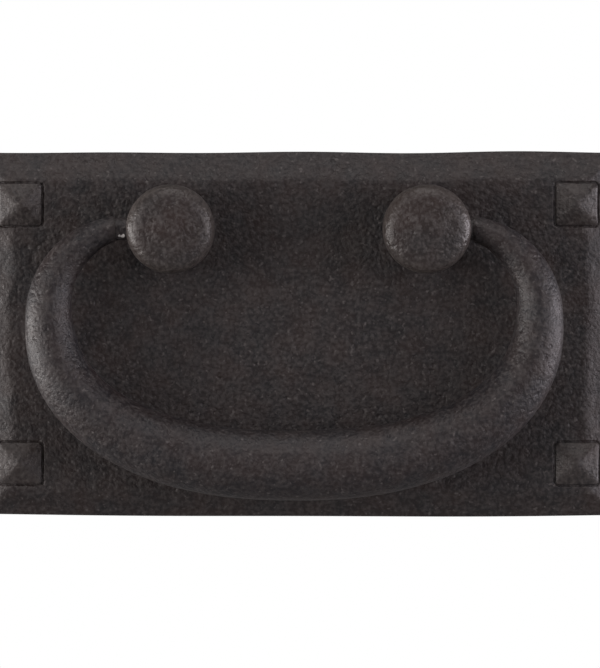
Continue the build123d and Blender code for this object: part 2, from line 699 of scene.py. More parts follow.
@dataclass(frozen=True)
class Stud:
    """One square stud cast in the plate, with a low four-sided point and a groove round it.

    Attributes:
        x: Its centre along X.
        z: Its centre along Z.
        size: Its width and height.
        corner: The radius of its corners.
        wall_rise: How far its upright wall stands above the plate's face.
        point_rise: How far its point stands above that wall.
        ridge_softness: How far its four ridges are rounded.
        tip_level: Where its tip is worn blunt, as a share of its rise.
        tip_softness: How softly it is worn there.
        skin: The lumps of its casting.
        groove_inner: The groove's width on the side that faces the middle of the plate.
        groove_outer: Its width on the side that faces the plate's end.
        groove_level: Its width above and below the stud.
        groove_depth: How deep it is below the plate's face, at its deepest side.
        faint_share: How deep its fainter sides are, as a share of that.
        groove_floor: The flat share of its width, next to the stud.
        filled: The share of its depth that the casting filled.
        filled_change: How far that share changes along it.
        filled_size: The distance over which it changes.
        edge_radius: How far the stud's top edge is rounded.
    """

    x: float
    z: float
    size: float = 6.25 * MM
    corner: float = 0.5 * MM
    wall_rise: float = 0.15 * MM
    point_rise: float = 1.6 * MM
    ridge_softness: float = 0.8 * MM
    tip_level: float = 0.94
    tip_softness: float = 0.12
    skin: Skin = Skin(1.3 * MM, 0.06 * MM, 2.3)
    groove_inner: float = 0.5 * MM
    groove_outer: float = 0.4 * MM
    groove_level: float = 0.38 * MM
    groove_depth: float = 0.46 * MM
    faint_share: float = 0.55
    groove_floor: float = 0.35
    filled: float = 0.25
    filled_change: float = 0.45
    filled_size: float = 1.4 * MM
    edge_radius: float = 0.15 * MM

    def marks_x(self) -> list[float]:
        """Return the places along X where its walls stand.

        Returns:
            The places, from left to right.
        """
        half = self.size / 2.0
        inner, outer = half + self.groove_inner, half + self.groove_outer
        ends = (-outer, -half, half, inner) if self.x < 0 else (-inner, -half, half, outer)
        return [self.x + end for end in ends]

    def marks_z(self) -> list[float]:
        """Return the places along Z where its walls stand.

        Returns:
            The places, from the bottom up.
        """
        half = self.size / 2.0
        outer = half + self.groove_level
        return [self.z + end for end in (-outer, -half, half, outer)]

    def groove_width(self, across: float, along: float) -> float:
        """Return the groove's width on the side of the stud that a place is on.

        Args:
            across: From the stud's centre to the place, along X.
            along: From the stud's centre to the place, along Z.

        Returns:
            The width.
        """
        if abs(along) > abs(across):
            return self.groove_level
        towards_middle = across * self.x < 0.0
        return self.groove_inner if towards_middle else self.groove_outer

    def pressed(self, height: float, face: float, x: float, z: float) -> float:
        """Return the plate's height at a place, with the stud and its groove worked in.

        Args:
            height: The plate's height without them.
            face: The height of the plate's flat face.
            x: The place along X.
            z: The place along Z.

        Returns:
            The height with them.
        """
        across, along = x - self.x, z - self.z
        half = self.size / 2.0
        gap = rounded_box_distance(across, along, half, half, self.corner)
        width = self.groove_width(across, along)
        if gap >= width:
            return height
        if gap > TOUCHING:
            filled = self.filled + self.filled_change * noise.noise(Vector((x, z, self.x)) / self.filled_size)
            slope = 1.0 - smooth_step((gap / width - self.groove_floor) / (1.0 - self.groove_floor))
            deepest = self.x < 0.0 and across > abs(along)
            depth = self.groove_depth * (1.0 if deepest else self.faint_share)
            return height - depth * (1.0 - max(filled, 0.0)) * slope
        reach = soft_max(abs(across), abs(along), self.ridge_softness)
        level = soft_min(1.0 - reach / half, self.tip_level, self.tip_softness)
        point = face + self.wall_rise + self.point_rise * max(level, 0.0)
        return point + self.skin.at(Vector((x, 0.0, z))) - round_over(-gap, self.edge_radius)


@dataclass
class Backplate:
    """The cast plate, with mitred bevels, hammered edges, corner studs and a hollow back.

    Attributes:
        width: Its nominal width.
        height: Its nominal height.
        top_above_posts: How far its top edge lies above the posts' axes.
        thickness: From its back to its flat face.
        edge_height: The height of its upright outer edge.
        side_bevel: The width of the bevels at its two ends.
        top_bevel: The width of its upper bevel.
        bottom_bevel: The width of its lower bevel.
        bevel_softness: How far the bevels' feet are blended, as a share of their width.
        edge_radius: The rounding of its front edge.
        top_waves: The long waves of its upper edge.
        bottom_waves: The long waves of its lower edge.
        left_waves: The waves of its left end.
        right_waves: The waves of its right end.
        left_foot: How the left bevel's foot wanders.
        right_foot: How the right bevel's foot wanders.
        wave_fade: How far in from each edge its waves die out.
        face_skin: The soft unevenness of its face.
        bevel_skin: The hammer marks of its bevels.
        hammered: How far in from each end those reach, as a share of the bevels' width.
        hammered_fade: Over how much of that width they die out.
        stud_spacing_x: Between the studs' centres, along X.
        stud_spacing_z: Between the studs' centres, along Z.
        stud_wear: How worn the studs are, where 1 is fully.
        rim_width: The width of the flat rim at the back.
        hollow_depth: How deep the back is hollowed.
        hollow_corner: The radius of the hollow's corners.
        hollow_draft: How far the hollow's walls lean.
        boss_radius: The radius of the boss behind each post.
        hole_radius: The radius of the hole for each post's tail.
        mouth_radius: The radius of that hole's countersink.
        mouth_depth: The depth of that countersink.
        back_corner: The rounding of its back edge.
        back_margin: How far inside its outline the grid of the back ends.
        front_spacing: The spacing of the grid of the front.
        back_spacing: The spacing of the grid of the back.
        front_opening: Half of the opening in the front's grid round each hole.
        back_opening: Half of the opening in the back's grid round each hole.
        finish: Its finish.
    """

    width: float = 95.25 * MM
    height: float = 54.0 * MM
    top_above_posts: float = 11.4 * MM
    thickness: float = 3.0 * MM
    edge_height: float = 1.0 * MM
    side_bevel: float = 4.6 * MM
    top_bevel: float = 4.15 * MM
    bottom_bevel: float = 3.65 * MM
    bevel_softness: float = 0.12
    edge_radius: float = 0.28 * MM
    top_waves: tuple[Wave, ...] = (
        Wave(0.11 * MM, 400.0 * MM, math.pi / 2.0),
        Wave(0.043 * MM, 140.0 * MM, -0.71),
        Wave(0.053 * MM, 42.0 * MM, 2.62),
        Wave(0.09 * MM, 30.0 * MM, 1.16),
    )
    bottom_waves: tuple[Wave, ...] = (Wave(0.223 * MM, 160.0 * MM, 1.2), Wave(0.057 * MM, 55.0 * MM, -1.77))
    left_waves: tuple[Wave, ...] = (Wave(0.12 * MM, 21.6 * MM, 0.4), Wave(0.05 * MM, 9.0 * MM))
    right_waves: tuple[Wave, ...] = (Wave(0.12 * MM, 27.0 * MM, 0.0), Wave(0.05 * MM, 8.0 * MM))
    left_foot: tuple[Wave, ...] = (Wave(0.35 * MM, 26.0 * MM, 2.6), Wave(0.16 * MM, 8.5 * MM))
    right_foot: tuple[Wave, ...] = (Wave(0.2 * MM, 30.0 * MM, 0.5), Wave(0.12 * MM, 9.5 * MM))
    wave_fade: float = 9.0 * MM
    face_skin: Skin = Skin(9.0 * MM, 0.035 * MM, 3.1)
    bevel_skin: Skin = Skin(2.0 * MM, 0.13 * MM, 8.7)
    hammered: float = 1.25
    hammered_fade: float = 0.5
    stud_spacing_x: float = 82.9 * MM
    stud_spacing_z: float = 38.6 * MM
    stud_wear: float = 0.4
    rim_width: float = 4.0 * MM
    hollow_depth: float = 1.0 * MM
    hollow_corner: float = 2.0 * MM
    hollow_draft: float = 1.0 * MM
    boss_radius: float = 7.5 * MM
    hole_radius: float = 3.25 * MM
    mouth_radius: float = 4.25 * MM
    mouth_depth: float = 1.1 * MM
    back_corner: float = 0.25 * MM
    back_margin: float = 1.5 * MM
    front_spacing: Spacing = Spacing(0.06 * MM, 1.5, 0.5 * MM)
    back_spacing: Spacing = Spacing(0.14 * MM, 1.3, 0.42 * MM)
    front_opening: float = 3.7 * MM
    back_opening: float = 5.0 * MM
    finish: CastFinish = CastFinish("plate_coating")

    def __post_init__(self) -> None:
        """Work out the places that follow from the sizes."""
        self.right = self.width / 2.0
        self.top = self.top_above_posts
        self.bottom = self.top - self.height
        self.centre_z = (self.top + self.bottom) / 2.0
        self.posts = [post_x(hand) for hand in Hand]
        self.studs = [
            Stud(hand.value * self.stud_spacing_x / 2.0, self.centre_z + row * self.stud_spacing_z / 2.0)
            for hand in Hand
            for row in (-1, 1)
        ]

    def outline_shift(self, x: float, z: float) -> tuple[float, float]:
        """Return how far the hammered edges push a nominal place out or in.

        Args:
            x: The place along X.
            z: The place along Z.

        Returns:
            The shift along X and along Z, which fades away from the edges.
        """
        fade = self.wave_fade
        left = waves_at(self.left_waves, self.top - z) * smooth_step(1.0 - (x + self.right) / fade)
        right = waves_at(self.right_waves, z - self.bottom) * smooth_step(1.0 - (self.right - x) / fade)
        top = waves_at(self.top_waves, x) * smooth_step(1.0 - (self.top - z) / fade)
        bottom = waves_at(self.bottom_waves, x) * smooth_step(1.0 - (z - self.bottom) / fade)
        return right - left, top - bottom

    def front_height(self, x: float, z: float) -> float:
        """Return how far the front stands off the back at a nominal place.

        Args:
            x: The place along X.
            z: The place along Z.

        Returns:
            The height.
        """
        left, right = x + self.right, self.right - x
        top, bottom = self.top - z, z - self.bottom
        shares = (
            left / (self.side_bevel + waves_at(self.left_foot, z)),
            right / (self.side_bevel + waves_at(self.right_foot, z)),
            top / self.top_bevel,
            bottom / self.bottom_bevel,
        )
        share = soft_min(min(shares), 1.0, self.bevel_softness)
        height = self.edge_height + (self.thickness - self.edge_height) * share
        place = Vector((x, 0.0, z))
        hammered = smooth_step((self.hammered - min(left, right) / self.side_bevel) / self.hammered_fade)
        height += self.face_skin.at(place) + hammered * self.bevel_skin.at(place)
        height -= round_over(min(left, right, top, bottom), self.edge_radius)
        for stud in self.studs:
            if abs(x - stud.x) < stud.size and abs(z - stud.z) < stud.size:
                height = stud.pressed(height, self.thickness, x, z)
        return height

    def back_depth(self, x: float, z: float) -> float:
        """Return how deep the hollow of the back is at a place.

        Args:
            x: The place along X.
            z: The place along Z.

        Returns:
            The depth.
        """
        half_x = self.right - self.rim_width
        half_z = self.height / 2.0 - self.rim_width
        inside = -rounded_box_distance(x, z - self.centre_z, half_x, half_z, self.hollow_corner)
        for post in self.posts:
            inside = min(inside, math.hypot(x - post, z) - self.boss_radius)
        return self.hollow_depth * smooth_step(inside / self.hollow_draft)

    def front_grid(self, bm: BMesh) -> None:
        """Make the front as a grid whose lines crowd at the studs' walls and the outer edge.

        Args:
            bm: The mesh.
        """
        marks_x = {-self.right, self.right}
        marks_z = {self.bottom, self.top}
        for stud in self.studs:
            marks_x.update(stud.marks_x())
            marks_z.update(stud.marks_z())
        lines_x = self.front_spacing.lines(sorted(marks_x))
        lines_z = self.front_spacing.lines(sorted(marks_z))
        for vert, x, z in laid_grid(bm, lines_x, lines_z):
            shift_x, shift_z = self.outline_shift(x, z)
            vert.co = Vector((x + shift_x, -self.front_height(x, z), z + shift_z))

    def back_grid(self, bm: BMesh) -> list[BMFace]:
        """Make the hollow back as a grid that ends a margin inside the outline.

        Args:
            bm: The mesh.

        Returns:
            The grid's faces.
        """
        low, high = self.bottom, self.top
        margin, rim = self.back_margin, self.rim_width
        marks_x = [margin - self.right, rim - self.right, self.right - rim, self.right - margin]
        marks_z = [low + margin, low + rim, high - rim, high - margin]
        placed = laid_grid(bm, self.back_spacing.lines(marks_x), self.back_spacing.lines(marks_z))
        for vert, x, z in placed:
            vert.co = Vector((x, -self.back_depth(x, z), z))
        faces = list(dict.fromkeys(face for vert, _, _ in placed for face in vert.link_faces))
        bmesh.ops.reverse_faces(bm, faces=faces)
        return faces

    def make_mesh(self) -> BMesh:
        """Return the plate's closed mesh.

        Returns:
            The mesh, with its wear marked.
        """
        bm = bmesh.new()
        self.front_grid(bm)
        outer = [edge for edge in bm.edges if edge.is_boundary]
        fronts = [open_square(bm, bm.faces, post, self.front_opening) for post in self.posts]
        rim = self.fold_edge(bm, outer)
        back = self.back_grid(bm)
        back_outer = [edge for face in back for edge in face.edges if edge.is_boundary]
        backs = [open_square(bm, back, post, self.back_opening) for post in self.posts]
        fill_flat(bm, rim + back_outer)
        for post, front_hole, back_hole in zip(self.posts, fronts, backs):
            mouth = self.line_hole(bm, post, front_hole)
            fill_flat(bm, mouth + back_hole)
        bmesh.ops.recalc_face_normals(bm, faces=bm.faces)
        bm.normal_update()
        mark_wear(bm, least=0.035, most=0.28, passes=2)
        self.rub_studs(bm)
        return bm

    def rub_studs(self, bm: BMesh) -> None:
        """Wear the studs a little, where they stand above the plate's face.

        Args:
            bm: The mesh.
        """
        layer = bm.verts.layers.float[WEAR_AND_SHEEN]
        for stud in self.studs:
            half = stud.size / 2.0
            for vert in bm.verts:
                inside = max(abs(vert.co.x - stud.x), abs(vert.co.z - stud.z)) < half
                if inside and vert.co.y < -self.thickness:
                    vert[layer] = max(vert[layer], self.stud_wear)

    def fold_edge(self, bm: BMesh, outer: Sequence[BMEdge]) -> list[BMEdge]:
        """Carry the front's outer edge down the plate's side and round its back corner.

        Args:
            bm: The mesh.
            outer: The front grid's outer edges.

        Returns:
            The last loop, which lies flat on the back plane.
        """
        corner = self.back_corner
        turn_steps = 4
        strip = 0.6 * MM
        stops = [(0.0, self.edge_height - self.edge_radius - corner)]
        for step in range(turn_steps + 1):
            turn = math.pi / 2.0 * step / turn_steps
            stops.append((corner * (1.0 - math.cos(turn)), corner * (1.0 - math.sin(turn))))
        stops.append((strip, 0.0))
        ring = list(outer)
        inward = 0.0
        for drawn_in, depth in stops:
            ring = new_ring(bm, ring)
            for vert in ring_verts(ring):
                vert.co.y = -depth
                self.draw_in(vert, drawn_in - inward)
            inward = drawn_in
        return ring

    def draw_in(self, vert: BMVert, amount: float) -> None:
        """Move an edge vertex towards the plate's middle, at right angles to its side.

        Args:
            vert: The vertex.
            amount: How far.
        """
        near = 1.2 * MM
        if self.right - abs(vert.co.x) < near:
            vert.co.x -= math.copysign(amount, vert.co.x)
        if self.top - vert.co.z < near:
            vert.co.z -= amount
        elif vert.co.z - self.bottom < near:
            vert.co.z += amount

    def line_hole(self, bm: BMesh, post: float, opening: Sequence[BMEdge]) -> list[BMEdge]:
        """Carry an opening of the front inwards to a round hole and through to its mouth.

        Args:
            bm: The mesh.
            post: The hole's centre along X.
            opening: The edges round the opening.

        Returns:
            The mouth's edges, on the back plane.
        """
        ring = list(opening)
        stops = [
            (self.hole_radius, self.thickness),
            (self.hole_radius, self.mouth_depth),
            (self.mouth_radius, 0.0),
        ]
        for radius, depth in stops:
            ring = new_ring(bm, ring)
            for vert in ring_verts(ring):
                out = Vector((vert.co.x - post, 0.0, vert.co.z)).normalized()
                vert.co = Vector((post, -depth, 0.0)) + out * radius
        return ring

    def build(self) -> bpy.types.Object:
        """Build the plate, dress it and put it in its place.

        Returns:
            The piece.
        """
        piece = finished_piece(self.make_mesh(), "plate_casting", self.finish)
        settle(piece, "backplate", Body.PLATE)
        return piece


def open_square(bm: BMesh, faces: Iterable[BMFace], middle_x: float, half: float) -> list[BMEdge]:
    """Cut a square opening in a grid, inside which a round hole is then lined.

    Args:
        bm: The mesh.
        faces: The grid's faces.
        middle_x: The opening's centre along X, at the height of the posts' axes.
        half: Half of its width.

    Returns:
        The edges round the opening.
    """
    gone = []
    for face in faces:
        if face.is_valid:
            middle = face.calc_center_median()
            if max(abs(middle.x - middle_x), abs(middle.z)) < half:
                gone.append(face)
    edges = list(dict.fromkeys(edge for face in gone for edge in face.edges))
    bmesh.ops.delete(bm, geom=gone, context="FACES")
    return [edge for edge in edges if edge.is_valid and edge.is_boundary]


def laid_grid(
    bm: BMesh, lines_x: Sequence[float], lines_z: Sequence[float]
) -> list[tuple[BMVert, float, float]]:
    """Make a grid and pair each vertex with the crossing of lines that it belongs on.

    Args:
        bm: The mesh.
        lines_x: The grid's upright lines, by their place along X.
        lines_z: Its level lines, by their place along Z.

    Returns:
        Each vertex with its nominal x and z.
    """
    columns, rows = len(lines_x) - 1, len(lines_z) - 1
    verts = bmesh.ops.create_grid(bm, x_segments=columns, y_segments=rows, size=1.0)["verts"]
    placed = []
    for vert in verts:
        column = round((vert.co.x + 1.0) / 2.0 * columns)
        row = round((vert.co.y + 1.0) / 2.0 * rows)
        placed.append((vert, lines_x[column], lines_z[row]))
    return placed


def fill_flat(bm: BMesh, edges: Sequence[BMEdge]) -> None:
    """Fill the flat space between an outer loop and an inner one on the back plane."""
    flat = (0.0, 1.0, 0.0)
    bmesh.ops.triangle_fill(bm, use_beauty=True, use_dissolve=False, edges=list(edges), normal=flat)


@dataclass
class Post:
    """One turned post, riveted through the plate, with a tapped tail and a bore for a spigot.

    Attributes:
        hand: Which end of the pull it stands at.
        foot_height: The height of its foot, which is the plate's thickness.
        top_height: The height of its head's flat edge.
        head_radius: The radius of its head.
        rim_width: The width of the head's rounded rim.
        rim_wear_and_highlight_width: The width of the rim band that is lightened, partly as wear and partly
            as painted highlight.
        crown: How far the head's face is domed.
        foot_radius: The radius of its foot.
        waist_radius: The radius that its waist is drawn towards.
        waist_height: The height above the foot that the waist is drawn towards.
        underside: The height above the foot where the head's wall starts.
        tail_radius: The radius of its tail.
        flare_radius: The radius of the flared end of its tail.
        flare_depth: The depth of that flare.
        screw_radius: The radius of its tapped hole, at the crests of the thread.
        screw_depth: The depth of that hole.
        screw_sink: The chamfer at its mouth.
        thread_pitch: From one turn of the thread to the next.
        thread_depth: The depth of the thread.
        bore_radius: The radius of the bore for the spigot.
        bore_inset: How far from the post's axis the bore ends.
        bore_sink: The chamfer at its mouth.
        steps: How many steps its turned shape has.
        bore_steps: How many steps the bore has round it.
        skin: The unevenness of its turned surface.
    """

    hand: Hand
    foot_height: float = 3.0 * MM
    top_height: float = 18.0 * MM
    head_radius: float = 6.6 * MM
    rim_width: float = 2.8 * MM
    rim_wear_and_highlight_width: float = 1.9 * MM
    crown: float = 0.3 * MM
    foot_radius: float = 5.8 * MM
    waist_radius: float = 4.8 * MM
    waist_height: float = 2.4 * MM
    underside: float = 5.2 * MM
    tail_radius: float = 3.2 * MM
    flare_radius: float = 4.2 * MM
    flare_depth: float = 1.1 * MM
    screw_radius: float = 1.73 * MM
    screw_depth: float = 9.2 * MM
    screw_sink: float = 0.3 * MM
    thread_pitch: float = 0.794 * MM
    thread_depth: float = 0.33 * MM
    bore_radius: float = 1.78 * MM
    bore_inset: float = 1.6 * MM
    bore_sink: float = 0.3 * MM
    steps: int = 112
    bore_steps: int = 64
    skin: Skin = Skin(2.2 * MM, 0.045 * MM, 1.3)

    def profile(self) -> list[tuple[float, float]]:
        """Return its turned outline, from its hole's end to its crown.

        Returns:
            The outline's points, each a radius and a height.
        """
        thread_steps, waist_steps, wall_steps, rim_steps, crown_steps = 110, 28, 26, 14, 18
        foot = self.foot_height
        bevel = 0.12 * MM
        flare_in, flare_up = 0.1 * MM, 0.08 * MM
        hole_length = self.screw_sink - self.screw_depth
        points = [(0.0, self.screw_depth)]
        for step in range(thread_steps + 1):
            points.append((self.screw_radius, self.screw_depth + hole_length * step / thread_steps))
        points += [
            (self.screw_radius + self.screw_sink, 0.0),
            (self.flare_radius - flare_in, 0.0),
            (self.flare_radius, flare_up),
            (self.tail_radius, self.flare_depth),
            (self.tail_radius, foot),
            (self.foot_radius - bevel, foot),
        ]
        wall_foot, wall_top = foot + self.underside, self.top_height - self.rim_width
        waist_pull = (self.waist_radius, foot + self.waist_height)
        waist_start = (self.foot_radius, foot + bevel)
        points += curve_through(waist_start, waist_pull, (self.head_radius, wall_foot), waist_steps)
        rise = (wall_top - wall_foot) / wall_steps
        points += [(self.head_radius, wall_foot + rise * step) for step in range(1, wall_steps)]
        face = self.head_radius - self.rim_width
        corner = (self.head_radius, self.top_height)
        points += curve_through((self.head_radius, wall_top), corner, (face, self.top_height), rim_steps)
        for step in range(1, crown_steps + 1):
            radius = face * (1.0 - step / crown_steps)
            points.append((radius, self.top_height + self.crown * (1.0 - (radius / face) ** 2)))
        return points

    def cut_thread(self, bm: BMesh) -> None:
        """Press a screw thread into the wall of the tapped hole.

        Args:
            bm: The mesh, turned about the Y axis.
        """
        flank, crest = 1.25, 0.9
        start, end, bottom = 0.3 * MM, self.screw_depth - 0.6 * MM, self.screw_depth - 0.1 * MM
        start_fade, end_fade = 0.3 * MM, 0.5 * MM
        for vert in bm.verts:
            radius, height = math.hypot(vert.co.x, vert.co.z), -vert.co.y
            if abs(radius - self.screw_radius) >= TOUCHING or height >= bottom:
                continue
            turn = math.atan2(vert.co.z, vert.co.x) / (2.0 * math.pi)
            phase = (height / self.thread_pitch + turn) % 1.0
            groove = max(0.0, 1.0 - abs(2.0 * phase - 1.0) * flank) / crest
            fade = smooth_step((height - start) / start_fade) * smooth_step((end - height) / end_fade)
            grown = 1.0 + fade * min(groove, 1.0) * self.thread_depth / radius
            vert.co.x *= grown
            vert.co.z *= grown

    def make_mesh(self) -> BMesh:
        """Return the post's closed mesh, before its bore is drilled.

        Returns:
            The mesh.
        """
        outline = [(radius, -height, 0.0) for radius, height in self.profile()]
        bm = turned(outline, (0.0, 1.0, 0.0), self.steps)
        self.cut_thread(bm)
        bmesh.ops.recalc_face_normals(bm, faces=bm.faces)
        bm.normal_update()
        own_patch = Vector((9.0 * MM * self.hand.value, 0.0, 0.0))
        uneven_from = self.foot_height + 1.0 * MM
        hole_wall = 2.0 * MM
        for vert in bm.verts:
            if -vert.co.y > uneven_from and math.hypot(vert.co.x, vert.co.z) > hole_wall:
                vert.co += vert.normal * self.skin.at(vert.co + own_patch)
        bmesh.ops.translate(bm, vec=Vector((post_x(self.hand), 0.0, 0.0)), verts=bm.verts)
        return bm

    def paint_rim_wear_and_highlight(self, bm: BMesh) -> None:
        """Lighten the rounded rim of the head, partly as wear where hands rub it and partly as painted
        highlight.

        Args:
            bm: The mesh, with its wear marked.
        """
        layer = bm.verts.layers.float[WEAR_AND_SHEEN]
        middle = post_x(self.hand)
        for vert in bm.verts:
            if -vert.co.y < self.top_height - self.rim_width:
                continue
            out = math.hypot(vert.co.x - middle, vert.co.z)
            level = smooth_step((out - self.head_radius) / self.rim_wear_and_highlight_width + 1.0)
            vert[layer] = max(vert[layer], level)

    def make_drill(self) -> BMesh:
        """Return the round body that the spigot's bore is cut with.

        Returns:
            The body's mesh, in its place.
        """
        wall, sink = self.head_radius, self.bore_sink
        wide, clear = self.bore_radius + 2.0 * sink, self.head_radius + 2.0 * MM
        outline = [
            (self.bore_inset, 0.0, 0.0),
            (self.bore_inset, self.bore_radius, 0.0),
            (wall - sink, self.bore_radius, 0.0),
            (wall + sink, wide, 0.0),
            (clear, wide, 0.0),
            (clear, 0.0, 0.0),
        ]
        bm = turned(outline, (1.0, 0.0, 0.0), self.bore_steps)
        bmesh.ops.scale(bm, vec=Vector((self.hand.value, 1.0, 1.0)), verts=bm.verts)
        bmesh.ops.translate(bm, vec=Vector((post_x(self.hand), pivot_place().y, 0.0)), verts=bm.verts)
        bmesh.ops.recalc_face_normals(bm, faces=bm.faces)
        return bm

    def build(self) -> bpy.types.Object:
        """Build the post, drill it, dress it and put it in its place.

        Returns:
            The piece.
        """
        side = self.hand.name.lower()
        finish = CastFinish(
            f"{side}_post_coating",
            brown=(0.031, 0.021, 0.019, 1.0),
            slate=(0.019, 0.017, 0.0175, 1.0),
            shift=0.03 * (2 + self.hand.value),
            roughness=0.44,
            mottle_size=9.0 * MM,
            # Stronger painted highlight on the grain's tops and painted shade in its hollows
            grain_shade_contrast=2.0,
        )
        bm = drilled(self.make_mesh(), self.make_drill())
        mark_wear(bm, least=0.05, most=0.4, passes=1)
        # Painted highlight on the head's rim, laid as wear
        self.paint_rim_wear_and_highlight(bm)
        piece = finished_piece(bm, f"{side}_post_turned", finish)
        settle(piece, f"{side}_post", Body.PLATE)
        return piece


def curve_through(
    start: tuple[float, float], pull: tuple[float, float], end: tuple[float, float], steps: int
) -> list[tuple[float, float]]:
    """Return points of a curve from start to end that is drawn towards a third point.

    Args:
        start: Its first point.
        pull: The point that it bends towards, where its two end tangents meet.
        end: Its last point.
        steps: How many steps it has.

    Returns:
        The points, both ends included.
    """
    points = []
    for step in range(steps + 1):
        share = step / steps
        a, b, c = (1.0 - share) ** 2, 2.0 * share * (1.0 - share), share**2
        points.append((a * start[0] + b * pull[0] + c * end[0], a * start[1] + b * pull[1] + c * end[1]))
    return points


def drilled(blank: BMesh, drill: BMesh) -> BMesh:
    """Cut one body out of another.

    Args:
        blank: The body to cut, which is freed.
        drill: The body to cut away, which is freed.

    Returns:
        What is left, with its normals right.
    """
    bodies = [linked("blank", mesh_from(blank, "blank")), linked("drill", mesh_from(drill, "drill"))]
    cut = bodies[0].modifiers.new("bore", "BOOLEAN")
    cut.operation = "DIFFERENCE"
    cut.solver = "EXACT"
    cut.object = bodies[1]
    bpy.context.view_layer.update()
    graph = bpy.context.evaluated_depsgraph_get()
    left = bpy.data.meshes.new_from_object(bodies[0].evaluated_get(graph))
    bm = bmesh.new()
    bm.from_mesh(left)
    bm.normal_update()
    for mesh in (left, *(body.data for body in bodies)):
        bpy.data.meshes.remove(mesh)
    return bm


